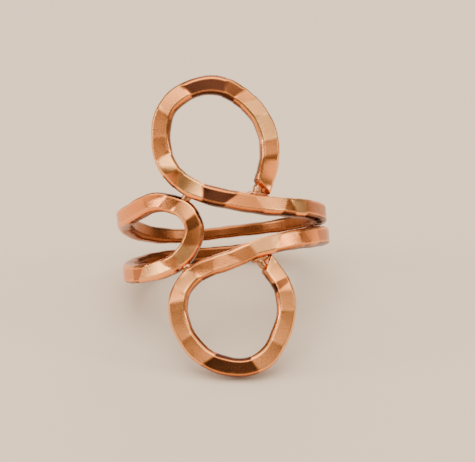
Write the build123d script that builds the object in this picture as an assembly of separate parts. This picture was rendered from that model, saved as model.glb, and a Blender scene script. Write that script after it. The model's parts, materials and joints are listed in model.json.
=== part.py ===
from build123d import *
from build123d.topology import SkipClean
from dataclasses import dataclass
import math
import os

# A finger ring bent from one hammered copper wire, with a loop above and a loop below the finger's
# middle line. Sizes are millimetres and degrees. The ring's own frame has the finger along Z and
# the loops at the front, towards -Y.

# The bore and the wire
finger_bore_radius = 8.65
wire_thickness = 1.5
wire_width = 1.8
back_wire_width = 1.15
edge_radius = 0.34
hammer_depth = 0.08
hammer_mark_length = 2.7

# Where the wire runs, measured to the middle of the wire
loop_half_width = 5.05
upper_loop_height = 10.4
lower_loop_height = 10.2
u_bend_apex = 2.75
upper_bend_height = 3.32
lower_bend_height = 3.16
left_half_spread = 2.5

# Clearances between stretches of the wire, and the solder that fills them
strand_gap = 0.3
back_strand_gap = 0.75
solder_gap = 0.3
solder_overlap = 0.45
solder_radius = 0.6
solder_waist_radius = 0.5

# The loops leave the finger's curve and turn into a flatter plate
band_half_height = 3.4
plate_half_height = 6.5
plate_radius = 28.0
loop_standoff = 0.2

# Fineness of the faceted wire and solder, and of the bore's wall
station_spacing = 0.9
peg_sides = 8
bore_sectors = 24
bore_trim = 0.05
most_rolls = 20
least_reach = 0.01

wire_line_radius = finger_bore_radius + wire_thickness / 2
quarter_turn = wire_line_radius * math.pi / 2
whole_turn = 4 * quarter_turn
right_half_spread = (wire_width + strand_gap) / 2
back_half_spread = (back_wire_width + back_strand_gap) / 2
soldered_distance = wire_width + solder_gap

# A loop from its foot on the front strand, clockwise seen from the front, towards its free end.
# across is a share of loop_half_width, up a share of the loop's height above its foot.
UPPER_LOOP = (
    # across, up
    (-0.05, 0.000),
    (-0.54, 0.120),
    (-0.89, 0.318),
    (-0.97, 0.580),
    (-0.80, 0.835),
    (-0.33, 0.981),
    (0.17, 0.994),
    (0.59, 0.871),
    (0.88, 0.698),
    (1.01, 0.476),
    (0.94, 0.218),
)
LOWER_LOOP = (
    # across, up
    (0.06, 0.000),
    (-0.47, 0.065),
    (-0.84, 0.194),
    (-1.00, 0.435),
    (-0.87, 0.681),
    (-0.56, 0.880),
    (-0.22, 0.970),
    (0.17, 1.000),
    (0.52, 0.930),
    (0.79, 0.771),
    (0.99, 0.541),
    (0.97, 0.281),
)
# Where each free end stops, as a share of loop_half_width
UPPER_END = 0.76
LOWER_END = 0.70

# The front strand from the loop's foot to the right side.
# turn is a share of a quarter turn, spread runs from 1 at the foot to 0 at the right side.
UPPER_STRAND = (
    # turn, spread
    (0.11, 0.718),
    (0.24, 0.473),
    (0.49, 0.241),
    (0.71, 0.127),
)
LOWER_STRAND = (
    # turn, spread
    (0.16, 0.650),
    (0.26, 0.488),
    (0.45, 0.261),
    (0.67, 0.113),
)

# A strand over the back. turn is a share of a quarter turn from the front, back runs from 0 at
# the right or left side to 1 at the back, full is 1 where the wire has its full width.
BACK_STRAND = (
    # turn, back, full
    (1.20, 0.60, 0.95),
    (1.45, 0.90, 0.55),
    (1.70, 1.00, 0.20),
    (2.02, 0.97, 0.08),
    (2.15, 1.00, 0.10),
    (2.28, 0.97, 0.36),
    (2.50, 0.83, 0.70),
    (2.75, 0.48, 0.92),
)

# A leg of the U-bend from its apex to the left, as shares of the leg's height
UPPER_BEND_LEG = (
    # back, up
    (0.035, 0.370),
    (0.200, 0.645),
    (0.570, 0.877),
    (1.040, 1.000),
    (1.790, 0.934),
    (2.550, 0.822),
)
LOWER_BEND_LEG = (
    # back, up
    (0.150, 0.330),
    (0.455, 0.680),
    (1.060, 0.950),
    (2.250, 0.995),
)


@dataclass
class Half:
    """The wire above or below the finger's middle line: its tables and the sizes they follow."""

    loop: tuple
    end: float
    strand: tuple
    leg: tuple
    loop_height: float
    bend_height: float


UPPER = Half(UPPER_LOOP, UPPER_END, UPPER_STRAND, UPPER_BEND_LEG, upper_loop_height, upper_bend_height)
LOWER = Half(LOWER_LOOP, LOWER_END, LOWER_STRAND, LOWER_BEND_LEG, lower_loop_height, lower_bend_height)


def between(low, high, share):
    return low + share * (high - low)


def smooth_step(x, low, high):
    share = min(max((x - low) / (high - low), 0.0), 1.0)
    return share * share * (3 - 2 * share)


def sampled(curve, start, stop, count):
    return [curve @ between(start, stop, i / count) for i in range(count + 1)]


def closest(first, second):
    """The two nearest points of two lists of points."""
    return min(((p, q) for p in first for q in second), key=lambda pair: (pair[0] - pair[1]).length)


# The flat pattern of the wire's middle line: s runs round the finger from the front to the right,
# z along the finger. Each half is laid out above the middle line, and the lower one is mirrored.


def loop_points(half, foot):
    """The loop from its foot to just before its free end."""
    return [(across * loop_half_width, foot + up * half.loop_height) for across, up in half.loop]


def front_strand_points(half, foot):
    """The front strand from beside the loop's foot to the right side."""
    points = []
    for turn, spread in half.strand:
        points.append((turn * quarter_turn, between(right_half_spread, foot, spread)))
    return points + [(quarter_turn, right_half_spread)]


def back_strand_points():
    """The strand from the right side over the back to the left side."""
    points = []
    for turn, back, _ in BACK_STRAND:
        side = right_half_spread if turn < 2 else left_half_spread
        points.append((turn * quarter_turn, between(side, back_half_spread, back)))
    return points + [(3 * quarter_turn, left_half_spread)]


def bend_points(half):
    """The U-bend's leg from the left to its apex."""
    apex = whole_turn - u_bend_apex
    height = half.bend_height
    points = [(apex - back * height, up * height) for back, up in reversed(half.leg)]
    return points + [(apex, 0.0)]


def free_end(half, foot):
    """The loop's free end, which stops short of the front strand's edge by the solder gap."""
    front = Spline(loop_points(half, foot)[0], *front_strand_points(half, foot))
    end = half.end * loop_half_width
    strand = min(sampled(front, 0, 1, 100), key=lambda point: abs(point.X - end))
    return end, strand.Y + wire_width / 2 + solder_gap


def seated_foot(half):
    """The height of the loop's foot at which the loop clears the U-bend by the solder gap."""
    bend = [p - Vector(whole_turn, 0) for p in sampled(Spline(*bend_points(half)), 0, 1, 60)]
    foot = half.bend_height
    for _ in range(6):
        side = sampled(Spline(*loop_points(half, foot)), 0, 0.5, 60)
        near, far = closest(side, bend)
        foot += soldered_distance - (near - far).length
    return foot


def half_route(half):
    """The wire from the loop's free end over the front, the right and the back to the U-bend."""
    foot = seated_foot(half)
    points = [free_end(half, foot)]
    points += reversed(loop_points(half, foot))
    points += front_strand_points(half, foot)
    points += back_strand_points()
    points += bend_points(half)
    return points


def wire_route():
    """The middle line of the whole wire, from the upper to the lower free end."""
    lower = [(s, -z) for s, z in reversed(half_route(LOWER))]
    return Spline(*half_route(UPPER), *lower[1:])


def full_width_share(s):
    """1 where the wire has its full width, falling to 0 at the middle of the back."""
    turn = s / quarter_turn
    rows = [(1, 1)] + [(turn, full) for turn, _, full in BACK_STRAND] + [(3, 1)]
    for (near, near_full), (far, far_full) in zip(rows, rows[1:]):
        if near <= turn <= far:
            return between(near_full, far_full, (turn - near) / (far - near))
    return 1


# Bending the flat pattern round the finger


def plate_share(z):
    """0 in the band, where the wire follows the finger, 1 in the loops' flatter plate."""
    return smooth_step(abs(z), band_half_height, plate_half_height)


def bent(s, z, outward):
    """The point that a place of the flat pattern takes on the ring, lifted outward from it."""
    if s > whole_turn / 2:
        s -= whole_turn
    share = plate_share(z)
    radius = 1 / between(1 / wire_line_radius, 1 / plate_radius, share)
    angle = s / radius
    reach = radius + outward + share * loop_standoff
    return Vector(reach * math.sin(angle), radius - wire_line_radius - reach * math.cos(angle), z)


# The hammered wire


def hammer_marks(length):
    """Where the hammer blows meet along the wire, and which edge each blow leans to, -1 to 1."""
    golden = (math.sqrt(5) - 1) / 2
    marks = []
    place = 0.0
    while place < length:
        unevenness = len(marks) * golden % 1
        lean = between(-1, 1, len(marks) * golden * 3 % 1)
        marks.append((place, lean))
        place += hammer_mark_length * between(0.7, 1.3, unevenness)
    return marks + [(length, 0)]


def dents(place, marks):
    """How deep the outer face's left and right edges are beaten in."""
    for (start, lean), (stop, _) in zip(marks, marks[1:]):
        if start <= place < stop:
            share = (place - start) / (stop - start)
            depth = hammer_depth * 4 * share * (1 - share)
            return depth * (2 + lean) / 2, depth * (2 - lean) / 2
    return 0, 0


def outline(width, left_dent, right_dent, trim):
    """The wire's cross-section as (across, outward) points, anticlockwise from its right side."""
    flat_half_width = width / 2 - edge_radius
    flat_half_thickness = wire_thickness / 2 - edge_radius
    corners = (
        # across, outward, start, dent
        (1, 1, 0, -right_dent),
        (-1, 1, 90, -left_dent),
        (-1, -1, 180, -trim),
        (1, -1, 270, -trim),
    )
    points = []
    for across, outward, start, dent in corners:
        for turn in (0, 45, 90):
            x = math.cos(math.radians(start + turn))
            y = math.sin(math.radians(start + turn))
            points.append(
                (
                    across * flat_half_width + edge_radius * x,
                    outward * flat_half_thickness + edge_radius * y + dent * abs(y),
                )
            )
    return points


def strands(route):
    """Points along the two front halves of the wire, each from its free end to the right side."""
    points = sampled(route, 0, 1, 600)
    middle = len(points) // 2
    return [[p for p in half if p.X < quarter_turn] for half in (points[:middle], points[:middle:-1])]


def seat(front):
    """The middle of a free end and the place on the strand beside it that is nearest."""
    return closest(front[:1], front[len(front) // 2 :])


def section_directions(route, count):
    """The way each section faces: along the wire, and square to the strand at the two free ends."""
    upper, lower = [(end - beside).normalized() for end, beside in map(seat, strands(route))]
    directions = []
    for i in range(count + 1):
        along = route % (i / count)
        to_upper = max(0, 1 - route.length * i / count / wire_width)
        to_lower = max(0, 1 - route.length * (count - i) / count / wire_width)
        directions.append((along + (upper - along) * to_upper - (lower + along) * to_lower).normalized())
    return directions


def wire_sections(route):
    """Cross-sections along the wire, each a closed row of points in space."""
    count = round(route.length / station_spacing)
    marks = hammer_marks(route.length)
    sections = []
    for i, along in enumerate(section_directions(route, count)):
        middle = route @ (i / count)
        full = full_width_share(middle.X)
        left_dent, right_dent = dents(route.length * i / count, marks)
        shape = outline(
            between(back_wire_width, wire_width, full),
            left_dent * full,
            right_dent * full,
            bore_trim * (1 - plate_share(middle.Y)),
        )
        sections.append(
            [bent(middle.X + across * along.Y, middle.Y - across * along.X, out) for across, out in shape]
        )
    return sections


def triangle(a, b, c):
    return Face(Wire.make_polygon([a, b, c]))


def end_cap(section):
    """A fan of triangles that closes the wire's end."""
    middle = sum(section, Vector()) / len(section)
    return [triangle(middle, a, b) for a, b in zip(section, section[1:] + section[:1])]


def tube_faces(sections):
    """The triangles between each closed row of points and the next."""
    faces = []
    for near, far in zip(sections, sections[1:]):
        for i in range(len(near)):
            faces.append(triangle(near[i - 1], near[i], far[i]))
            faces.append(triangle(near[i - 1], far[i], far[i - 1]))
    return faces


def faceted_wire(sections):
    """The closed solid through the sections."""
    return Solid(Shell(end_cap(sections[0]) + end_cap(sections[-1]) + tube_faces(sections)))


def finger():
    """The finger's cylinder, its wall in sectors so that each stretch of the bore is a face."""
    angle = 360 / bore_sectors
    arcs = [CenterArc((0, 0), finger_bore_radius, i * angle, angle) for i in range(bore_sectors)]
    profile = Pos(0, 0, -plate_half_height) * make_face(arcs)
    return Solid.extrude(profile.face(), Vector(0, 0, 2 * plate_half_height))


def flare(middle, along, radius):
    """A regular row of points round a line, square to it."""
    side = Vector(0, 0, 1).cross(along).normalized()
    turns = [2 * math.pi * (i + 0.5) / peg_sides for i in range(peg_sides)]
    rise = along.cross(side)
    return [middle + (side * math.cos(t) + rise * math.sin(t)) * radius for t in turns]


def solder_peg(place, along, gap):
    """A waisted peg of solder that fills a gap and grips the wire on both sides of it."""
    grip = along * (gap / 2 + solder_overlap)
    near = bent((place - grip).X, (place - grip).Y, 0)
    far = bent((place + grip).X, (place + grip).Y, 0)
    axis = (far - near).normalized()
    rows = [
        flare(near, axis, solder_radius),
        flare((near + far) / 2, axis, solder_waist_radius),
        flare(far, axis, solder_radius),
    ]
    return Solid(Shell(tube_faces(rows) + end_cap(rows[0][::-1]) + end_cap(rows[-1])))


def solder_joints(route):
    """Each loop is soldered to the U-bend, and each free end to the strand beside it."""
    turned = Vector(whole_turn, 0)
    bend = [p - turned for p in sampled(route, 0, 1, 600) if p.X > 3 * quarter_turn]
    joints = []
    for front in strands(route):
        beside, on_bend = closest(front, bend)
        along = (beside - on_bend).normalized()
        joints.append(solder_peg((beside + on_bend) / 2, along, (beside - on_bend).length - wire_width))
        end, on_strand = seat(front)
        along = (end - on_strand).normalized()
        edge = on_strand + along * wire_width / 2
        joints.append(solder_peg((end + edge) / 2, along, (end - edge).length))
    return joints


# How the ring rests


def beyond(middle, up, start, stop, corner):
    """True where the middle is on the other side of a floor edge than the corner."""
    side = up.cross(stop - start)
    return side.dot(middle - start) * side.dot(corner - start) < 0


def settled(points, middle):
    """The floor under the ring: it leans on the lower loop's tip and rolls until it is stable."""
    up = Vector(0, 0, 1)
    for _ in range(most_rolls):
        first = min((p for p in points if p.Y < 0), key=lambda p: p.dot(up))
        second = min((p for p in points if p.Y > 0), key=lambda p: p.dot(up))
        up = Vector(1, 0, 0).cross(second - first).normalized()
    for _ in range(most_rolls):
        side = (second - first).cross(up).normalized()
        side = side if side.dot(middle - first) > 0 else -side
        free = [p for p in points if (p - first).dot(side) > least_reach]
        third = min(free, key=lambda p: (p - first).dot(up) / (p - first).dot(side))
        normal = (second - first).cross(third - first).normalized()
        up = normal if normal.dot(up) > 0 else -normal
        edges = ((first, third, second), (third, second, first))
        outside = [edge for edge in edges if beyond(middle, up, *edge)]
        if not outside:
            break
        first, second, _ = outside[0]
    return first, up


def wire_ring():
    """The whole ring at rest, with the middle of its box over the origin."""
    route = wire_route()
    sections = wire_sections(route)
    ring = faceted_wire(sections)
    bore = finger()
    joints = solder_joints(route)
    with SkipClean():
        for joint in joints:
            ring = ring.fuse(joint)
        ring = ring.cut(bore)
    touch, up = settled([p for section in sections for p in section], ring.center(CenterOf.MASS))
    right = Vector(1, 0, 0) - up * up.X
    ring = ring.moved(Plane(touch, right, up).location.inverse())
    box = ring.bounding_box()
    return ring.moved(Location((-box.center().X, -box.center().Y, -box.min.Z)))


os.makedirs("parts", exist_ok=True)
ring = wire_ring().solid()
ring.label = "wire_ring"
export_step(ring, "parts/wire_ring.step")
print("faces", len(ring.faces()), "volume", round(ring.volume, 2))
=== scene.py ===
# %% [markdown]
# # A ring of hammered copper wire
# The real ring is one length of round copper wire, beaten flat on its outer side and bent into an upper
# loop, a lower loop and a small U-bend. Where the wire touches itself it is soldered.
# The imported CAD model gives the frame: where the finger's hole is and how the ring rests. Everything here
# is built in that frame, in metres.

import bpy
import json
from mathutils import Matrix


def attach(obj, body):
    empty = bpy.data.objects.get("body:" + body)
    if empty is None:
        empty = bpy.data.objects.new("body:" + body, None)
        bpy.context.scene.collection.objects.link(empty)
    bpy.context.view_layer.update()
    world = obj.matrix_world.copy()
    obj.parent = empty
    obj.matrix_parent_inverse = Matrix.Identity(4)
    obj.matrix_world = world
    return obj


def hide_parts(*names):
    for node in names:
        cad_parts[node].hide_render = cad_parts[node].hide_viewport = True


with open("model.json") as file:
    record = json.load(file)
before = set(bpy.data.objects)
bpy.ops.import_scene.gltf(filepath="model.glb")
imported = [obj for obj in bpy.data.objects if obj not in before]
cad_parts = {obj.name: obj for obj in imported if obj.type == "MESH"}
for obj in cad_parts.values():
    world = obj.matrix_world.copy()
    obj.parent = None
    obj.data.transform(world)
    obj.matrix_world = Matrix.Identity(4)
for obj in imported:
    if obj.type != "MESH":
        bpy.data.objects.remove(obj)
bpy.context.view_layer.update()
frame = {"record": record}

# %% [markdown]
# Blender's own modules come next. Blender counts in metres, so a length in millimetres is written with
# the factor `mm`.

# %% Blender's modules
import json
import math

import bmesh
import bpy
import numpy as np
from mathutils import Matrix, Vector, noise

mm = 0.001
print("Blender", bpy.app.version_string)

# %% [markdown]
# ## Where the ring is
# The bore's mount in the record gives the finger's axis. The ring's own frame has the finger along its
# third axis and the loops at the front. Three arrows, worked out from the bore's axis, take a point from
# the ring's own frame to the frame of the CAD, so the ring leans here just as the CAD ring does. The bore
# reaches a little further up than down, so its middle is a little above the ring's.

# %% The ring's own frame
bore = frame["record"]["mounts"][0]
finger_bore_radius = bore["dims"]["r_mm"] * mm
finger_up = np.array(bore["axis"])
ring_right = np.array([finger_up[2], 0, -finger_up[0]])
ring_right /= np.linalg.norm(ring_right)
ring_back = np.cross(finger_up, ring_right)
bore_middle_offset = 0.041 * mm
ring_middle = np.array(bore["pos_m"]) - finger_up * bore_middle_offset


def in_frame(points):
    """Points of the ring's own frame, moved to the frame of the CAD."""
    return ring_middle + points @ np.array([ring_right, ring_back, finger_up])


print("middle of the ring", ring_middle.round(5), "bore radius", finger_bore_radius)

# %% [markdown]
# ## The flat pattern
# A maker would bend the wire flat first and then round a mandrel, and so does this script. The pattern
# says how far round the finger to the right, and how far up from the middle of the band, the middle of
# the wire runs. It follows the sizes below. A foot is where a loop leaves its front strand, and a spread
# is the distance between the middles of the two strands.

# %% The pattern's sizes
half_thickness = 0.75 * mm
wire_line_radius = finger_bore_radius + half_thickness
quarter_turn = wire_line_radius * math.pi / 2
whole_turn = 4 * quarter_turn
loop_half_width = 5.05 * mm
upper_loop_height = 10.4 * mm
lower_loop_height = 10.2 * mm
upper_foot = 3.037 * mm
lower_foot = 2.947 * mm
right_half_spread = 1.05 * mm
back_half_spread = 0.95 * mm
left_half_spread = 2.5 * mm
upper_bend_height = 3.32 * mm
lower_bend_height = 3.16 * mm
bend_tip = whole_turn - 2.75 * mm
print("once round the finger is", round(whole_turn / mm, 2), "mm along the wire's middle")

# %% [markdown]
# The tables give the places that the wire passes, as shares of those sizes. A loop runs from its free end
# to its foot, a front strand from the foot to the right side, a back strand from the right side to the
# left one, and a leg of the U-bend from the left side to the bend's tip. The two back strands follow one
# table, one above the middle of the band and one as far below it.

# %% The pattern's places
UPPER_LOOP = (
    # across as a share of the half width, up from the foot as a share of the height
    (0.76, 0.009), (0.94, 0.218), (1.01, 0.476), (0.88, 0.701), (0.59, 0.879), (0.17, 1.005),
    (-0.33, 0.993), (-0.80, 0.844), (-0.97, 0.582), (-0.89, 0.318), (-0.54, 0.120), (-0.05, 0.000),
)
LOWER_LOOP = (
    (0.70, 0.028), (0.97, 0.281), (0.99, 0.541), (0.79, 0.771), (0.52, 0.930), (0.17, 0.990),
    (-0.22, 0.960), (-0.554, 0.873), (-0.859, 0.677), (-0.988, 0.435), (-0.84, 0.194), (-0.47, 0.065),
    (0.06, 0.000),
)
UPPER_STRAND = (
    # quarter turns from the front, spread from 1 at the foot to 0 at the right side
    (0.11, 0.718), (0.24, 0.473), (0.49, 0.241), (0.71, 0.127),
)
LOWER_STRAND = (
    (0.16, 0.650), (0.26, 0.488), (0.45, 0.261), (0.67, 0.113),
)
BACK_STRAND = (
    # quarter turns from the front, back from 0 at the sides to 1 at the back, share of the full width
    (1.20, 0.60, 0.95),
    (1.45, 0.90, 0.55),
    (1.70, 1.00, 0.20),
    (2.02, 0.97, 0.08),
    (2.15, 1.00, 0.10),
    (2.28, 0.97, 0.36),
    (2.50, 0.83, 0.70),
    (2.75, 0.48, 0.92),
)
UPPER_LEG = (
    # back from the bend's tip and up, both as shares of the leg's height
    (2.550, 0.822), (1.790, 0.934), (1.040, 1.000), (0.570, 0.877), (0.200, 0.645), (0.035, 0.370),
)
LOWER_LEG = (
    (2.250, 0.965), (1.060, 0.918), (0.455, 0.671), (0.150, 0.330),
)


def half_pattern(loop, foot, loop_height, strand, leg, leg_height):
    """Places from a loop's free end to the tip of the U-bend, all above the middle of the band."""
    places = [(across * loop_half_width, foot + up * loop_height) for across, up in loop]
    for turn, spread in strand:
        places.append((turn * quarter_turn, right_half_spread + spread * (foot - right_half_spread)))
    places.append((quarter_turn, right_half_spread))
    for turn, back, _ in BACK_STRAND:
        side = right_half_spread if turn < 2 else left_half_spread
        places.append((turn * quarter_turn, side + back * (back_half_spread - side)))
    places.append((3 * quarter_turn, left_half_spread))
    places += [(bend_tip - back * leg_height, up * leg_height) for back, up in leg]
    return [*places, (bend_tip, 0)]


upper = half_pattern(UPPER_LOOP, upper_foot, upper_loop_height, UPPER_STRAND, UPPER_LEG, upper_bend_height)
lower = half_pattern(LOWER_LOOP, lower_foot, lower_loop_height, LOWER_STRAND, LOWER_LEG, lower_bend_height)
# the lower half is turned over and run backwards, from the tip of the U-bend to its free end
pattern = np.array([*upper, *((place, -up) for place, up in reversed(lower[:-1]))])
print(len(pattern), "places along the wire")

# %% [markdown]
# ## A smooth line through the places
# Bent wire has no corners, so the line through the places is a natural cubic spline: its direction and
# its curvature run on smoothly through every place, and it is straight at its two ends, as a springy
# wire would be. Solving one small set of equations gives the curvature at each place.


# %% The wire's middle line
def spline_bends(knots, places):
    """The second derivative of the natural cubic spline at each of its places."""
    steps = np.diff(knots)
    count = len(knots)
    matrix = np.eye(count)
    target = np.zeros(places.shape)
    for i in range(1, count - 1):
        matrix[i, i - 1 : i + 2] = steps[i - 1], 2 * (steps[i - 1] + steps[i]), steps[i]
        slope_before = (places[i] - places[i - 1]) / steps[i - 1]
        slope_after = (places[i + 1] - places[i]) / steps[i]
        target[i] = 6 * (slope_after - slope_before)
    return np.linalg.solve(matrix, target)


def spline_points(knots, places, bends, at):
    """Points on the spline."""
    i = np.clip(np.searchsorted(knots, at) - 1, 0, len(knots) - 2)
    step = (knots[i + 1] - knots[i])[:, None]
    a = (knots[i + 1] - at)[:, None] / step
    b = 1 - a
    curve = ((a**3 - a) * bends[i] + (b**3 - b) * bends[i + 1]) * step**2 / 6
    return a * places[i] + b * places[i + 1] + curve


fine_count = 20001
knots = np.concatenate([[0], np.cumsum(np.linalg.norm(np.diff(pattern, axis=0), axis=1))])
fine_knots = np.linspace(0, knots[-1], fine_count)
fine_line = spline_points(knots, pattern, spline_bends(knots, pattern), fine_knots)
fine_length = np.concatenate([[0], np.cumsum(np.linalg.norm(np.diff(fine_line, axis=0), axis=1))])
wire_length = fine_length[-1]


def place_at(along):
    """The middle line's places at lengths along the wire."""
    inside = np.clip(along, 0, wire_length)
    return np.stack([np.interp(inside, fine_length, fine_line[:, k]) for k in (0, 1)], axis=-1)


def direction_at(along):
    """The direction of the middle line."""
    reach = 0.05 * mm
    step = place_at(along + reach) - place_at(along - reach)
    return step / np.linalg.norm(step, axis=-1, keepdims=True)


def line_at(along):
    """The middle line's places, run on straight past its ends."""
    inside = np.clip(along, 0, wire_length)
    return place_at(inside) + (along - inside)[..., None] * direction_at(inside)


print("length of the wire", round(wire_length / mm, 2), "mm")

# %% [markdown]
# ## The hammer blows
# Each blow leaves one slightly hollow facet, 1 to 4 mm long. The facets make the ring's sparkle: one that
# leans up mirrors the bright light above, and one that leans down mirrors the dark below it. The three
# tables give the facets of the front and of the U-bend: where each starts along the wire in millimetres,
# how far it leans to the right and up in degrees, how slanted the ridge at its start is, and its painted
# light, from -1 for painted shade to 1 for a painted highlight.

# %% The facets
FRONT_FACETS = (
    # start, right, up, slant, painted light: the upper loop from its free end
    (0.0, 2, 4, 0.0, 0.3),
    (1.0, 1, 2, 0.3, 0.2),
    (3.1, 2, 4, -0.2, 0.1),
    (4.9, 1, 7, 0.3, 1.0),
    (7.4, 2, 7, -0.3, 0.9),
    (9.1, 2, 4, -0.4, 0.3),
    (10.2, 0, 0, -0.2, -0.87),
    (11.6, -1, -5, 0.2, -1.0),
    (15.3, -2, 2, 0.3, 0.3),
    (18.3, -2, -1, -0.5, 0.0),
    (20.7, -2, -2, 0.2, -0.1),
    (22.5, -1, 7, 0.5, 1.0),
    (24.2, 1, -3, -0.3, -0.4),
    # the upper front strand
    (25.2, -1, 4, 0.6, 1.0),
    (27.8, 1, -5, 0.3, -1.0),
    (30.4, 1, -1, -0.7, -0.1),
    (33.0, 1, 4, 0.6, 0.5),
    (35.6, 4, 2, -0.6, -0.4),
    (36.6, -3, -2, 0.4, 1.0),
    (38.1, 3, 1, 0.1, -0.6),
    (40.2, -2, 1, 0.2, -0.6),
    (42.3, 2, -1, -0.2, -0.4),
)
BEND_FACETS = (
    # start, right, up, slant, painted light: the U-bend
    (74.0, -2, 1, 0.2, -0.2),
    (76.4, 2, 0, -0.2, -0.1),
    (78.6, -1, 1, 0.3, -0.1),
    (81.3, -1, 5, 0.4, -0.3),
    (83.4, 1, -3, -0.5, -0.5),
    (84.8, 1, 4, -0.3, 0.4),
    (86.6, 2, -5, 0.3, -0.7),
    (87.7, -1, 0, 0.4, -0.2),
    (89.3, 1, 6, 0.4, 0.8),
    (91.0, 1, 1, -0.2, -0.1),
    (92.2, 5, 9, 0.6, 1.0),
    (95.2, 2, -4, -0.7, -0.6),
    (96.6, 1, 0, 0.2, -0.2),
    (99.0, -1, 0, 0.0, 0.0),
)
LOWER_FACETS = (
    # start, right, up, slant, painted light: the lower front strand from the right side
    (131.0, 1, 0, 0.2, -0.4),
    (133.4, -1, 0, -0.2, -0.5),
    (135.6, 1, 0, 0.2, 0.0),
    (137.4, 4, -4, 0.5, -0.5),
    (138.4, -2, 1, 0.5, 0.0),
    (140.9, 1, 7, -0.6, 1.0),
    (143.4, -1, -2, 0.2, -0.1),
    (145.3, 0, 2, 0.5, 0.2),
    (147.2, 1, 0, -0.4, -0.1),
    # the lower loop
    (149.0, -2, 5, 0.3, 0.6),
    (151.2, -2, -1, -0.3, 0.25),
    (153.1, -1, 0, 0.3, 0.25),
    (155.9, -1, -2, 0.3, 0.15),
    (158.8, 0, -6, -0.5, -0.9),
    (163.1, 2, -2, 0.2, 0.25),
    (166.0, 1, 1, -0.2, 0.3),
    (169.2, 1, 3, 0.2, 0.35),
    (171.5, 2, -3, 0.4, -0.8),
    (172.4, 1, 5, -0.2, 0.5),
    (174.2, 0, 8, 0.0, 1.0),
)
print(len(FRONT_FACETS) + len(BEND_FACETS) + len(LOWER_FACETS), "chosen facets")

# %% [markdown]
# The photograph hides the facets of the sides and back, so a rule makes those up. It steps through the
# golden ratio's turns, which never repeat, and length, lean and painted shade each follow the turns at a
# rate of their own. So the facets are as uneven as hand work, and painted shade makes them a little darker
# than those in front.

# %% The facets of the sides and back
# where each of the two stretches starts and stops, in millimetres along the wire
upper_far = (44.5, 74.0)
lower_far = (101.5, 131.0)
far_length = 2.7
least_far_length = 1.5
far_lean = 3
far_painted_shade = -0.4
far_painted_shade_spread = 0.3
golden = (math.sqrt(5) - 1) / 2


def far_facets(start, stop):
    """Rows like those of the tables, from one place along the wire to another."""
    rows = []
    while start < stop - least_far_length:
        turn = (len(rows) * golden) % 1
        right = far_lean * math.sin(9 * turn)
        up = far_lean * math.cos(7 * turn)
        # painted shade: the hidden facets are painted a little darker, unevenly
        painted_light = far_painted_shade + far_painted_shade_spread * math.sin(5 * turn)
        rows.append((start, right, up, turn - 0.5, painted_light))
        start += far_length * (0.7 + 0.6 * turn)
    return rows


facets = np.array(
    [*FRONT_FACETS, *far_facets(*upper_far), *BEND_FACETS, *far_facets(*lower_far), *LOWER_FACETS]
)
# the facets' last column is painted light: painted highlights and painted shade in the copper's colour
facet_start, facet_right, facet_up, facet_slant, facet_painted_light = facets.T
facet_start = facet_start * mm
facet_stop = np.append(facet_start[1:], wire_length)
facet_middle = (facet_start + facet_stop) / 2
print(len(facets), "facets in all,", round(np.diff(facet_start).mean() / mm, 2), "mm long on average")

# %% [markdown]
# ## One hammered face from many facets
# Each facet is a plane that slopes along the wire and across it, slightly hollow as a rounded hammer
# leaves it. The planes are joined end to end on the wire's middle line, so the face steps in and out a
# little, and neighbours share a narrow rounded ridge.

# %% The hammered face
hollow = 0.03 / mm
ridge_width = 0.35 * mm
facet_direction = direction_at(facet_middle)
lean_right = np.tan(np.radians(facet_right))
lean_up = np.tan(np.radians(facet_up))
slope_along = -(lean_right * facet_direction[:, 0] + lean_up * facet_direction[:, 1])
slope_across = -(lean_right * facet_direction[:, 1] - lean_up * facet_direction[:, 0])
half_length = (facet_stop - facet_start) / 2
steps = slope_along[:-1] * half_length[:-1] + slope_along[1:] * half_length[1:]
facet_height = np.concatenate([[0], np.cumsum(steps)])


def smooth_step(x):
    """0 below 0, 1 above 1, and an S-shaped rise between them."""
    x = np.clip(x, 0, 1)
    return x * x * (3 - 2 * x)


def facet_shares(along, across, ridge):
    """How much of each facet a place of the face has: 1 inside a facet, shared on a ridge."""
    passed = [
        smooth_step((along - start - slant * across) / ridge + 0.5)
        for start, slant in zip(facet_start[1:], facet_slant[1:])
    ]
    passed = [np.ones_like(along + across), *passed, np.zeros_like(along + across)]
    return [before - after for before, after in zip(passed, passed[1:])]


def stepped_face(along, across):
    """The height of the hammered face, in and out together."""
    height = 0
    for i, share in enumerate(facet_shares(along, across, ridge_width)):
        near = along - facet_middle[i]
        plane = facet_height[i] + slope_along[i] * near + slope_across[i] * across
        height = height + share * (plane + hollow * (near**2 - half_length[i] ** 2) / 2)
    return height


print("middles of the facets over", round(np.ptp(facet_height) / mm, 2), "mm")

# %% [markdown]
# ## Sway and dents
# The slow part of that stepping bends the whole wire in and out, and only the rest is cut into the face.
# Two smoothings part them: what the short one keeps and the long one doesn't is the sway. Where the upper
# strand comes round the left side, the real wire stands out a little more.

# %% The wire's sway
smoothing = 3.0 * mm
most_sway = 0.12 * mm
left_swell = 0.22 * mm
left_swell_middle = 74.5 * mm
left_swell_reach = 4 * mm
sway_count = 1401
sway_at = np.linspace(0, wire_length, sway_count)


def smoothed(height, reach):
    """The height along the wire, smoothed over a reach."""
    weight = np.exp(-(((sway_at[:, None] - sway_at[None, :]) / reach) ** 2) / 2)
    return weight @ height / weight.sum(axis=1)


raw_height = stepped_face(sway_at, np.zeros_like(sway_at))
slow_height = smoothed(raw_height, smoothing)
sway = slow_height - smoothed(raw_height, 3 * smoothing)
sway = most_sway * np.tanh(sway / most_sway)
sway = sway + left_swell * np.exp(-(((sway_at - left_swell_middle) / left_swell_reach) ** 2))


def sway_of(along):
    """How far the whole wire is bent outward."""
    return np.interp(along, sway_at, sway)


def dent(along, across):
    """How far the hammered face stands above or below its mean level."""
    return stepped_face(along, across) - np.interp(along, sway_at, slow_height)


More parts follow.
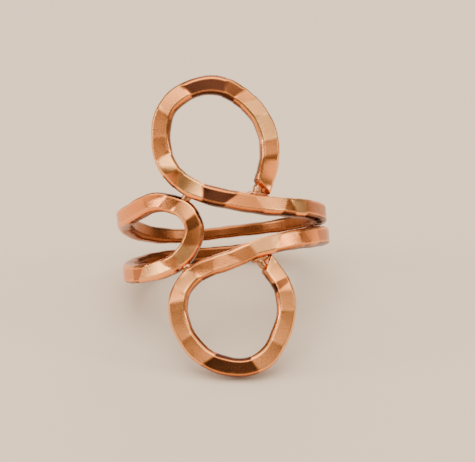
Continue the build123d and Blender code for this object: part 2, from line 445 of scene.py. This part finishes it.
face_now = dent(sway_at, np.zeros_like(sway_at)) / mm
print("face from", round(face_now.min(), 3), "to", round(face_now.max(), 3), "mm")
print("sway up to", round(abs(sway).max() / mm, 3), "mm")

# %% [markdown]
# ## The cross-section
# Round wire beaten on an anvil gets a flat face, a flat underside and rounded flanks. A superellipse, a
# shape between an ellipse and a box, gives the flanks.

# %% The cross-section's sizes
wire_width = 1.8 * mm
back_wire_width = 1.15 * mm
face_height = 0.715 * mm
flank_height = 0.80 * mm
underside = 0.75 * mm
boxiness = 3.0


def flank(angle, half_width, rise):
    """A point of the superellipse, as across and outward. Its upper half is stretched by the rise."""
    half_height = flank_height + np.where(angle > 0, rise, 0)
    across_part = np.abs(np.cos(angle) / half_width) ** boxiness
    outward_part = np.abs(np.sin(angle) / half_height) ** boxiness
    reach = (across_part + outward_part) ** (-1 / boxiness)
    return reach * np.cos(angle), reach * np.sin(angle)


print("wire", round(wire_width / mm, 2), "mm wide, over the back down to", round(back_wire_width / mm, 2))

# %% [markdown]
# The hammered face cuts the flanks, and the crisp edge where it does is what catches a thin line of light
# along the real wire. To keep that edge crisp, a row of points lies exactly on it. Its place is found by
# halving an angle until the flank meets the face. Where the face stands high, the flank rises with it, so
# the two always meet well short of the top.


# %% The crisp edge
def edge_angle(along, half_width, rise, side):
    """The angle at which the hammered face meets the flank on one side."""
    low = np.zeros_like(along)
    high = np.full_like(along, math.pi / 2)
    halvings = 24
    for _ in range(halvings):
        angle = (low + high) / 2
        across, outward = flank(angle, half_width, rise)
        above = outward > face_height + dent(along, side * across)
        high = np.where(above, angle, high)
        low = np.where(above, low, angle)
    return (low + high) / 2


end_angle = edge_angle(np.zeros(1), wire_width / 2, np.zeros(1), 1)
print("at the upper end the face cuts the flank at", np.degrees(end_angle).round(1), "degrees")

# %% [markdown]
# ## The bar
# The wire starts as a flat sheet, a grid with its long side along the wire and its short side round it.
# The grid gives an even mesh of four-sided faces, fine enough for crisp facets, and its seam is closed
# once the sheet has been rolled up.

# %% The sheet
stations = 1720
face_rows = 15
flank_rows = 15
underside_rows = 5
rows_around = face_rows + underside_rows + 2 * flank_rows
bar = bmesh.new()
bmesh.ops.create_grid(bar, x_segments=stations, y_segments=rows_around, size=0.5)
print(len(bar.verts), "points,", len(bar.faces), "faces")
flat = np.array([vert.co for vert in bar.verts])
station = np.rint((flat[:, 0] + 0.5) * stations).astype(int)
row = np.rint((flat[:, 1] + 0.5) * rows_around).astype(int)

# %% [markdown]
# ## Width and edges along the bar
# Over the back the wire was beaten less, so the bar is narrower there. A blow that flattens the wire also
# spreads it, so the bar is a little wider in the middle of each facet.

# %% The bar's width and edges
spreading = 0.05
along_of = np.linspace(0, wire_length, stations + 1)
turn_at = np.array([1, *(turn for turn, _, _ in BACK_STRAND), 3]) * quarter_turn
full_at = [1, *(share for _, _, share in BACK_STRAND), 1]
full = np.interp(line_at(along_of)[:, 0], turn_at, full_at)
facet_of = np.clip(np.searchsorted(facet_start, along_of) - 1, 0, None)
into_facet = np.clip((along_of - facet_start[facet_of]) / (2 * half_length.mean()), 0, 1)
half_width = (back_wire_width + (wire_width - back_wire_width) * full) / 2
half_width = half_width * (1 + spreading * np.sin(np.pi * into_facet) - spreading / 2)
rise = dent(along_of, np.zeros_like(along_of))
right_angle = edge_angle(along_of, half_width, rise, 1)
left_angle = edge_angle(along_of, half_width, rise, -1)
print("width from", round(2 * half_width.min() / mm, 3), "to", round(2 * half_width.max() / mm, 3), "mm")

# %% [markdown]
# ## Rolling and hammering
# Each point of the sheet gets its place round the bar: on the hammered face, down the left flank, along
# the underside or up the right flank. The rows are closer together near the crisp edges.

# %% The hammered bar
face_crowding = 0.8
flank_crowding = 0.75
under_corner = 0.82
under_angle = np.arcsin(underside / flank_height) * under_corner


def eased(share):
    """Shares from 0 to 1, closer together at both ends."""
    return share - flank_crowding * np.sin(2 * np.pi * share) / (2 * np.pi)


def around(row_number):
    """Across and outward of one row of points along the whole bar."""
    if row_number <= face_rows:
        share = row_number / face_rows
        share = 0.5 + 0.5 * np.sign(share - 0.5) * abs(2 * share - 1) ** face_crowding
        right = flank(right_angle, half_width, rise)[0]
        left = -flank(left_angle, half_width, rise)[0]
        across = right + (left - right) * share
        return across, face_height + dent(along_of, across)
    row_number -= face_rows
    if row_number <= flank_rows:
        angle = left_angle + (-under_angle - left_angle) * eased(row_number / flank_rows)
        across, outward = flank(angle, half_width, rise)
        return -across, outward
    row_number -= flank_rows
    if row_number <= underside_rows:
        share = row_number / underside_rows
        across, outward = flank(-under_angle * np.ones_like(along_of), half_width, rise)
        return across * (2 * share - 1), outward
    row_number -= underside_rows
    angle = -under_angle + (right_angle + under_angle) * eased(row_number / flank_rows)
    return flank(angle, half_width, rise)


rows = [around(i) for i in range(rows_around + 1)]
across_of = np.stack([across for across, _ in rows])
level_of = np.stack([outward for _, outward in rows])
print("thickness up to", round((level_of.max() - level_of.min()) / mm, 3), "mm")

# %% [markdown]
# ## The bar's roll
# The bar was not held quite level while it was bent, so it is rolled a little about its middle line. This
# shows more of one flank than of the other. The table gives the roll in degrees at places along the wire.

# %% The roll
ROLL = (
    # along the wire, roll: below 0 the right side of the bar, seen along it, is turned inward
    (0, 0), (8, 0), (12, -8), (16, -5), (19, 0), (23, 4), (28, 8), (37, 7), (44, 0),
    (78, 0), (84, 6), (88, 8), (92, 4), (97, 0),
    (132, 0), (140, -3), (148, 0), (156, 3), (161, 5), (167, 2), (175, 0),
)
roll_at, bar_roll = np.array(ROLL, dtype=float).T
here = np.clip(np.searchsorted(roll_at, along_of / mm) - 1, 0, len(roll_at) - 2)
roll_share = smooth_step((along_of / mm - roll_at[here]) / (roll_at[here + 1] - roll_at[here]))
roll = np.radians(bar_roll[here] + roll_share * (bar_roll[here + 1] - bar_roll[here]))
outward_of = across_of * np.sin(roll) + level_of * np.cos(roll)
across_of = across_of * np.cos(roll) - level_of * np.sin(roll)
print("rolled from", bar_roll.min(), "to", bar_roll.max(), "degrees")

# %% [markdown]
# ## The cut ends
# Both free ends were snipped slantwise and pushed against the strand beside them. Near an end the bar's
# points slide along it, more on the short side, so the end becomes a slanted face.

# %% Slanted ends
end_reach = 3.0 * mm
cut_slant = 0.55
slide_up = cut_slant * np.clip(1 - along_of / end_reach, 0, 1)
slide_down = cut_slant * np.clip(1 - (wire_length - along_of) / end_reach, 0, 1)
from_right = wire_width / 2 - across_of
along_all = along_of + slide_up * from_right - slide_down * from_right
print("the cuts run", round(cut_slant * wire_width / mm, 2), "mm along the wire")

# %% [markdown]
# ## Bending
# Last, the bar is bent along its middle line and round the finger. Close to the finger's middle it
# follows the finger. The loops leave it and run into a flatter plate, so the bend's radius grows there.

# %% Round the finger
band_half_height = 3.4 * mm
plate_half_height = 6.5 * mm
plate_radius = 28.0 * mm
loop_standoff = 0.2 * mm


def bent(place, outward):
    """Places of the flat pattern, lifted outward and bent round the finger."""
    round_finger = np.where(place[..., 0] > whole_turn / 2, place[..., 0] - whole_turn, place[..., 0])
    share = smooth_step((np.abs(place[..., 1]) - band_half_height) / (plate_half_height - band_half_height))
    radius = 1 / (1 / wire_line_radius + share * (1 / plate_radius - 1 / wire_line_radius))
    angle = round_finger / radius
    reach = radius + outward + share * loop_standoff
    return np.stack(
        [reach * np.sin(angle), radius - wire_line_radius - reach * np.cos(angle), place[..., 1]], axis=-1
    )


direction = direction_at(along_all)
place = line_at(along_all)
place = place + across_of[..., None] * np.stack([direction[..., 1], -direction[..., 0]], axis=-1)
points = in_frame(bent(place, outward_of + sway_of(along_of)))
print("the bent wire spans", (points.max(axis=(0, 1)) - points.min(axis=(0, 1))).round(5))

# %% [markdown]
# ## Painted light and shade
# Each point of the wire carries two values for the copper. The first is its painted light: the hammered
# face has the painted highlights and painted shade of its facets, and the flanks below it get painted
# shade. A dark line of painted shade also runs just under one edge of the face. Seen along the wire, that
# is the right edge from the upper front strand to the back, and the left edge everywhere else.

# %% The painted light and shade
painted_light_ridge_width = 0.3 * mm
flank_painted_shade = -0.72
face_light_from = 0.25 * mm
face_light_fade = 0.25 * mm
shade_right_from = 24 * mm
shade_right_to = 60 * mm
shade_line_depth = 0.8
shade_line_row = 4.5
shade_line_spread = 1.7
shade_line_unevenness = 0.3
shade_line_wave = 1.3 * mm
shares = facet_shares(np.broadcast_to(along_of, across_of.shape), across_of, painted_light_ridge_width)
# the face's painted light: each facet's painted highlight or painted shade
painted_light = sum(share * value for share, value in zip(shares, facet_painted_light))
on_face = np.clip((level_of - face_light_from) / face_light_fade, 0, 1)
# the flanks get painted shade in place of the facets' painted light
painted_light = painted_light * on_face + flank_painted_shade * (1 - on_face)
row_numbers = np.arange(rows_around + 1)[:, None]
past_left = row_numbers - face_rows
past_right = rows_around - row_numbers
shade_on_right = (along_of > shade_right_from) & (along_of < shade_right_to)
past_shaded = np.where(shade_on_right, past_right, past_left)
past_unshaded = np.where(shade_on_right, past_left, past_right)
# a painted dark line of shade just under one edge of the face
painted_shade_line = np.exp(-(((past_shaded - shade_line_row) / shade_line_spread) ** 2) / 2)
painted_shade_line = painted_shade_line * (1 - shade_line_unevenness + shade_line_unevenness * np.sin(along_of / shade_line_wave))
painted_light = painted_light - shade_line_depth * painted_shade_line
print("tone from", painted_light.min().round(2), "to", painted_light.max().round(2))

# %% [markdown]
# The second value says how near a crisp edge the point is, because the edges get a painted highlight. The
# painted highlight is a row or so wide, and wider down the flank on the side without the dark line.

# %% The painted edge highlights
narrow_shine = 0.8
wide_shine = 2.2
into_face = np.minimum(face_rows - row_numbers, row_numbers)
on_flank = past_left >= 0
# a painted highlight along the face's crisp edges
painted_edge_highlight = np.where(
    on_flank,
    np.exp(-((past_unshaded / wide_shine) ** 2) / 2) + np.exp(-((past_shaded / narrow_shine) ** 2) / 2),
    np.exp(-((into_face / narrow_shine) ** 2) / 2),
)
print("nearness to an edge from", painted_edge_highlight.min().round(2), "to", painted_edge_highlight.max().round(2))

# %% [markdown]
# ## Closing the wire
# The bar's points move to their places. The seam's doubled points are merged and each open end is filled
# with one flat face. A small bevel takes the sharpness off the cut, as a few strokes of a file do.

# %% The wire as an object
merge_distance = 0.001 * mm
bevel_width = 0.05 * mm
# both values the points carry are painted light: the painted edge highlight, and painted highlights and
# shade
edge_highlight_layer = bar.verts.layers.float.new("edge")
painted_light_layer = bar.verts.layers.float.new("painted_light")
for vert, s, r in zip(bar.verts, station, row):
    vert.co = points[r, s]
    vert[edge_highlight_layer] = painted_edge_highlight[r, s]
    vert[painted_light_layer] = painted_light[r, s]
bmesh.ops.remove_doubles(bar, verts=bar.verts[:], dist=merge_distance)
rim = [edge for edge in bar.edges if edge.is_boundary]
caps = bmesh.ops.holes_fill(bar, edges=rim, sides=0)["faces"]
bmesh.ops.bevel(
    bar,
    geom=[edge for cap in caps for edge in cap.edges],
    offset=bevel_width,
    segments=2,
    profile=0.5,
    material=-1,
    affect="EDGES",
)
bmesh.ops.recalc_face_normals(bar, faces=bar.faces[:])
# only the two cut ends have more than four corners, and they stay flat
for face in bar.faces:
    face.smooth = len(face.verts) <= 4
print(len(caps), "ends closed")


def as_object(mesh_in_hand, name):
    """A finished bmesh as an object in the scene."""
    mesh = bpy.data.meshes.new(name)
    mesh_in_hand.to_mesh(mesh)
    mesh_in_hand.free()
    made = bpy.data.objects.new(name, mesh)
    bpy.context.scene.collection.objects.link(made)
    return made


wire = as_object(bar, "hammered_wire")
triangles = sum(len(polygon.vertices) - 2 for polygon in wire.data.polygons)
print("hammered_wire has", triangles, "triangles")

# %% [markdown]
# ## The solder
# Solder runs into a gap while it is liquid and freezes as a small smooth lump with a waist. A ball is a
# good start: it is stretched across the gap, pinched in the middle, roughened a little with noise and
# then placed in the flat pattern and bent round the finger as the wire was. The table is in millimetres
# and degrees.

# %% The solder lumps
SOLDER = (
    # round, up, outward, half length, half width, half depth, turn
    # the U-bend's joints to the upper loop and to the lower loop, and a drop that ran over
    (-3.20, 3.33, -0.05, 0.62, 0.50, 0.50, 45),
    (-3.92, -3.24, -0.05, 0.60, 0.50, 0.50, 38),
    (-4.35, -3.15, 0.50, 0.20, 0.17, 0.17, 20),
    # the upper free end's joint
    (3.66, 3.36, 0.02, 0.62, 0.48, 0.60, 75),
    (2.97, 3.08, 0.00, 0.50, 0.28, 0.45, 10),
    (3.66, 2.95, 0.00, 0.85, 0.30, 0.55, -10),
    # the lower free end's joint
    (3.27, -3.55, 0.00, 0.62, 0.42, 0.52, 120),
    (3.00, -3.15, 0.00, 0.70, 0.30, 0.48, 12),
    (3.55, -3.05, -0.05, 0.55, 0.32, 0.50, 20),
)
waist_depth = 0.12
waist_reach = 0.4
wobble_size = 0.35 * mm
wobble_depth = 0.06


def solder_lump(round_mm, up_mm, out_mm, length_mm, width_mm, depth_mm, turn):
    """One lump of solder as a bmesh, in the frame of the CAD."""
    lump = bmesh.new()
    bmesh.ops.create_icosphere(lump, subdivisions=4, radius=1)
    bmesh.ops.scale(lump, vec=(length_mm * mm, width_mm * mm, depth_mm * mm), verts=lump.verts)
    for vert in lump.verts:
        waist = 1 - waist_depth * math.exp(-((vert.co.x / (waist_reach * length_mm * mm)) ** 2))
        vert.co.y *= waist
        vert.co.z *= waist
        wobble = noise.noise(vert.co / wobble_size + Vector((round_mm, up_mm, turn)))
        vert.co *= 1 + wobble_depth * wobble
    turned = Matrix.Rotation(math.radians(turn), 3, "Z")
    bmesh.ops.rotate(lump, cent=(0, 0, 0), matrix=turned, verts=lump.verts)
    local = np.array([vert.co for vert in lump.verts])
    places = np.array([round_mm, up_mm]) * mm + local[:, :2]
    spots = in_frame(bent(places, out_mm * mm + local[:, 2]))
    for vert, spot in zip(lump.verts, spots):
        vert.co = spot
    bmesh.ops.recalc_face_normals(lump, faces=lump.faces[:])
    for face in lump.faces:
        face.smooth = True
    return lump


solder = []
for number, lump_row in enumerate(SOLDER, 1):
    solder.append(as_object(solder_lump(*lump_row), f"solder_lump_{number}"))
print(len(solder), "lumps of solder")

# %% [markdown]
# ## Copper
# Copper is a metal, so all that shows on it is what it mirrors, tinted by the copper. Two effects change
# over the surface, and both the wire and the solder use them, so each is a node group. Satin grain is the
# fine scatter that polishing leaves. The painted light darkens the copper's colour with painted shade and
# lightens it with painted highlights.

# %% Shared effects
CLOUD_SCALE = 900


def effect(name, inputs, outputs):
    """An empty node group with named inputs and outputs."""
    group = bpy.data.node_groups.new(name, "ShaderNodeTree")
    for label, kind, value in inputs:
        socket = group.interface.new_socket(label, in_out="INPUT", socket_type=kind)
        socket.default_value = value
    for label, kind in outputs:
        group.interface.new_socket(label, in_out="OUTPUT", socket_type=kind)
    return group, group.nodes.new("NodeGroupInput"), group.nodes.new("NodeGroupOutput")


def add(tree, kind, **settings):
    """A node with its settings, in a material, a world or a group."""
    node = tree.nodes.new(kind)
    for name, value in settings.items():
        setattr(node, name, value)
    return node


def satin_grain_group():
    """Fine polishing grain as a height and as a spread of roughness."""
    group, given, made = effect(
        "satin_grain",
        [
            ("Size", "NodeSocketFloat", 1.0),
            ("Roughness", "NodeSocketFloat", 0.2),
            ("Spread", "NodeSocketFloat", 0.05),
        ],
        [("Height", "NodeSocketFloat"), ("Roughness", "NodeSocketFloat")],
    )
    place_of = add(group, "ShaderNodeTexCoord")
    grain = add(group, "ShaderNodeTexNoise")
    grain.inputs["Detail"].default_value = 3
    grain.inputs["Roughness"].default_value = 0.6
    cloud = add(group, "ShaderNodeTexNoise")
    cloud.inputs["Scale"].default_value = CLOUD_SCALE
    # the cloud runs from 0 to 1, and the spread needs -1 to 1
    shifted = add(group, "ShaderNodeMath", operation="MULTIPLY_ADD")
    shifted.inputs[1].default_value = 2
    shifted.inputs[2].default_value = -1
    spread = add(group, "ShaderNodeMath", operation="MULTIPLY_ADD")
    link = group.links.new
    link(place_of.outputs["Object"], grain.inputs["Vector"])
    link(given.outputs["Size"], grain.inputs["Scale"])
    link(place_of.outputs["Object"], cloud.inputs["Vector"])
    link(cloud.outputs["Fac"], shifted.inputs[0])
    link(shifted.outputs[0], spread.inputs[0])
    link(given.outputs["Spread"], spread.inputs[1])
    link(given.outputs["Roughness"], spread.inputs[2])
    link(grain.outputs["Fac"], made.inputs["Height"])
    link(spread.outputs[0], made.inputs["Roughness"])
    return group


def copper_painted_light_group():
    """Copper's colour from its painted light: dark with painted shade, pale with a painted highlight."""
    group, given, made = effect(
        "copper_painted_light",
        [
            ("PaintedLight", "NodeSocketFloat", 0.0),
            ("Copper", "NodeSocketColor", (0.9, 0.5, 0.3, 1)),
            ("PaintedShade", "NodeSocketColor", (0.2, 0.08, 0.04, 1)),
            ("PaintedHighlight", "NodeSocketColor", (1.0, 0.7, 0.5, 1)),
        ],
        [("Color", "NodeSocketColor")],
    )
    darker = add(group, "ShaderNodeMapRange")
    darker.inputs["From Min"].default_value = 0
    darker.inputs["From Max"].default_value = -1
    lighter = add(group, "ShaderNodeMapRange")
    to_dark = add(group, "ShaderNodeMix", data_type="RGBA")
    to_light = add(group, "ShaderNodeMix", data_type="RGBA")
    link = group.links.new
    link(given.outputs["PaintedLight"], darker.inputs["Value"])
    link(given.outputs["PaintedLight"], lighter.inputs["Value"])
    link(darker.outputs["Result"], to_dark.inputs["Factor"])
    link(given.outputs["Copper"], to_dark.inputs[6])
    link(given.outputs["PaintedShade"], to_dark.inputs[7])
    link(lighter.outputs["Result"], to_light.inputs["Factor"])
    link(to_dark.outputs[2], to_light.inputs[6])
    link(given.outputs["PaintedHighlight"], to_light.inputs[7])
    link(to_light.outputs[2], made.inputs["Color"])
    return group


satin_grain = satin_grain_group()
copper_painted_light = copper_painted_light_group()
print("node groups:", satin_grain.name, copper_painted_light.name)

# %% [markdown]
# ## The copper material
# The material reads the two values that the wire's points carry, so the edges get a painted highlight and
# the darkest facets get painted shade in every view. The solder's mesh carries none, so it keeps one
# colour.

# %% Copper
COPPER = (1.0, 0.335, 0.100, 1)
# colours of painted shade and of painted highlights, mixed over the copper by the painted light
PAINTED_SHADE = (0.080, 0.026, 0.013, 1)
PAINTED_HIGHLIGHT = (1.0, 0.47, 0.17, 1)
SOLDER_COPPER = (0.58, 0.28, 0.13, 1)
edge_shine = 0.8
grain_scale = 9000
grain_spread = 0.10
grain_height = 0.010 * mm


def copper_material(name, copper, roughness):
    """Metal with grain and painted light and shade, for the wire or the solder."""
    material = bpy.data.materials.new(name)
    material.use_nodes = True
    tree = material.node_tree
    shader = tree.nodes["Principled BSDF"]
    shader.inputs["Metallic"].default_value = 1
    # the points' painted light and painted edge highlight
    painted_light_of = add(tree, "ShaderNodeAttribute", attribute_name="painted_light")
    edge_highlight_of = add(tree, "ShaderNodeAttribute", attribute_name="edge")
    brighter = add(tree, "ShaderNodeMath", operation="MULTIPLY_ADD")
    brighter.inputs[1].default_value = edge_shine
    colour = add(tree, "ShaderNodeGroup", node_tree=copper_painted_light)
    colour.inputs["Copper"].default_value = copper
    colour.inputs["PaintedShade"].default_value = PAINTED_SHADE
    colour.inputs["PaintedHighlight"].default_value = PAINTED_HIGHLIGHT
    grain = add(tree, "ShaderNodeGroup", node_tree=satin_grain)
    grain.inputs["Size"].default_value = grain_scale
    grain.inputs["Roughness"].default_value = roughness
    grain.inputs["Spread"].default_value = grain_spread
    bump = add(tree, "ShaderNodeBump")
    bump.inputs["Strength"].default_value = 1
    bump.inputs["Distance"].default_value = grain_height
    link = tree.links.new
    link(edge_highlight_of.outputs["Fac"], brighter.inputs[0])
    link(painted_light_of.outputs["Fac"], brighter.inputs[2])
    link(brighter.outputs[0], colour.inputs["PaintedLight"])
    link(colour.outputs["Color"], shader.inputs["Base Color"])
    link(grain.outputs["Roughness"], shader.inputs["Roughness"])
    link(grain.outputs["Height"], bump.inputs["Height"])
    link(bump.outputs["Normal"], shader.inputs["Normal"])
    return material


hammered_copper = copper_material("hammered_copper", COPPER, roughness=0.27)
solder_copper = copper_material("solder_copper", SOLDER_COPPER, roughness=0.32)
wire.data.materials.append(hammered_copper)
for lump in solder:
    lump.data.materials.append(solder_copper)
print("materials:", hammered_copper.name, solder_copper.name)

# %% [markdown]
# ## Riding on the frame
# Wire and solder are one piece of metal on the real ring, and one node of the CAD, so all of them ride on
# its body, and the CAD's node is hidden.

# %% Bodies and the hidden node
for piece in [wire, *solder]:
    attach(piece, "root")
    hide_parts("wire_ring")
print("pieces:", 1 + len(solder))

# %% [markdown]
# ## Floor and light
# The floor is a plain pale plane, wide enough to fill the picture and the copper's reflections.

# %% The floor
FLOOR_COLOUR = (0.82, 0.665, 0.53, 1)
floor_mesh = bmesh.new()
bmesh.ops.create_grid(floor_mesh, x_segments=1, y_segments=1, size=2.0)
floor = as_object(floor_mesh, "floor")
floor_material = bpy.data.materials.new("pale_floor")
floor_material.use_nodes = True
floor_shader = floor_material.node_tree.nodes["Principled BSDF"]
floor_shader.inputs["Base Color"].default_value = FLOOR_COLOUR
floor_shader.inputs["Roughness"].default_value = 0.9
floor.data.materials.append(floor_material)
print("floor", FLOOR_COLOUR[:3])

# %% [markdown]
# Metal shows what is around it, so the light matters as much as the copper does. The sky is bright above,
# darkest a little above the horizon and slightly lighter again at the horizon itself.

# %% Soft light all round
SKY = (
    # height from 0 at the horizon to 1 straight up, brightness
    (0.00, 0.32),
    (0.14, 0.22),
    (0.30, 0.14),
    (0.42, 0.22),
    (0.57, 0.50),
    (0.68, 0.92),
    (0.79, 1.60),
    (0.90, 2.30),
    (1.00, 3.80),
)
SKY_TINT = (1, 0.92, 0.78)
world = bpy.data.worlds.new("soft_room")
bpy.context.scene.world = world
world.use_nodes = True
sky = world.node_tree
sky_place = add(sky, "ShaderNodeTexCoord")
sky_height = add(sky, "ShaderNodeSeparateXYZ")
sky_ramp = add(sky, "ShaderNodeValToRGB")
while len(sky_ramp.color_ramp.elements) < len(SKY):
    sky_ramp.color_ramp.elements.new(0.5)
# all places come before the first colour, because the ramp sorts its stops by place
for element, (height, brightness) in zip(sky_ramp.color_ramp.elements, SKY):
    element.position = height
for element, (height, brightness) in zip(sky_ramp.color_ramp.elements, SKY):
    element.color = (*(brightness * share for share in SKY_TINT), 1)
sky.links.new(sky_place.outputs["Generated"], sky_height.inputs["Vector"])
sky.links.new(sky_height.outputs["Z"], sky_ramp.inputs["Fac"])
sky.links.new(sky_ramp.outputs["Color"], sky.nodes["Background"].inputs["Color"])
print("sky from", SKY[0], "to", SKY[-1])

# %% [markdown]
# Four square soft boxes add the clear highlights. Each looks at a point at about the ring's middle height.
# The table gives the side that a box stands on and its height as angles in degrees, where side 0 is in
# front and 90 to the right. Distance and size are in metres, and power is in watts.

# %% Soft boxes
BOXES = (
    # name, side, height, distance, size, power
    ("box_above", -20, 62, 0.9, 0.6, 2.5),
    ("box_left", -84, 21, 0.8, 0.3, 2.4),
    ("box_right", 75, 28, 0.9, 0.25, 1.5),
    ("box_behind", 175, 22, 0.9, 0.5, 3.0),
)
BOX_TINT = (1, 0.95, 0.88)
lit_point = Vector((0, 0, 0.01))


def direction_of(side, height):
    """The arrow from the ring towards a side and a height, both in degrees."""
    turn, lift = math.radians(side), math.radians(height)
    return Vector((math.sin(turn) * math.cos(lift), -math.cos(turn) * math.cos(lift), math.sin(lift)))


for name, side, height, distance, size, power in BOXES:
    lamp = bpy.data.lights.new(name, "AREA")
    lamp.shape = "SQUARE"
    lamp.size = size
    lamp.energy = power
    lamp.color = BOX_TINT
    box = bpy.data.objects.new(name, lamp)
    away = direction_of(side, height)
    box.location = away * distance + lit_point
    box.rotation_euler = away.to_track_quat("Z", "Y").to_euler()
    bpy.context.scene.collection.objects.link(box)
print(len(BOXES), "soft boxes")

# %% [markdown]
# ## The camera
# A long lens looks down on the ring at the photograph's angle, slightly from its left. The camera is also
# turned a fraction of a degree about its own line of sight, so that the ring's lean matches.

# %% The photograph's view
side_degrees = -3.244
height_degrees = 28.822
roll_degrees = 0.505
camera_distance = 0.23
camera_aim = Vector((1.370, 3.625, 7.176)) * mm
camera_back = direction_of(side_degrees, height_degrees)
camera_level = camera_back.to_track_quat("Z", "Y").to_matrix()
camera_turned = camera_level @ Matrix.Rotation(math.radians(roll_degrees), 3, "Z")
camera_data = bpy.data.cameras.new("camera")
camera_data.sensor_width = 36
camera_data.lens = 178.7
camera_data.clip_start = 0.001
camera = bpy.data.objects.new("camera", camera_data)
camera_place = camera_aim + camera_back * camera_distance
camera.matrix_world = Matrix.Translation(camera_place) @ camera_turned.to_4x4()
bpy.context.scene.collection.objects.link(camera)
bpy.context.scene.camera = camera
print("camera", height_degrees, "degrees above the floor")
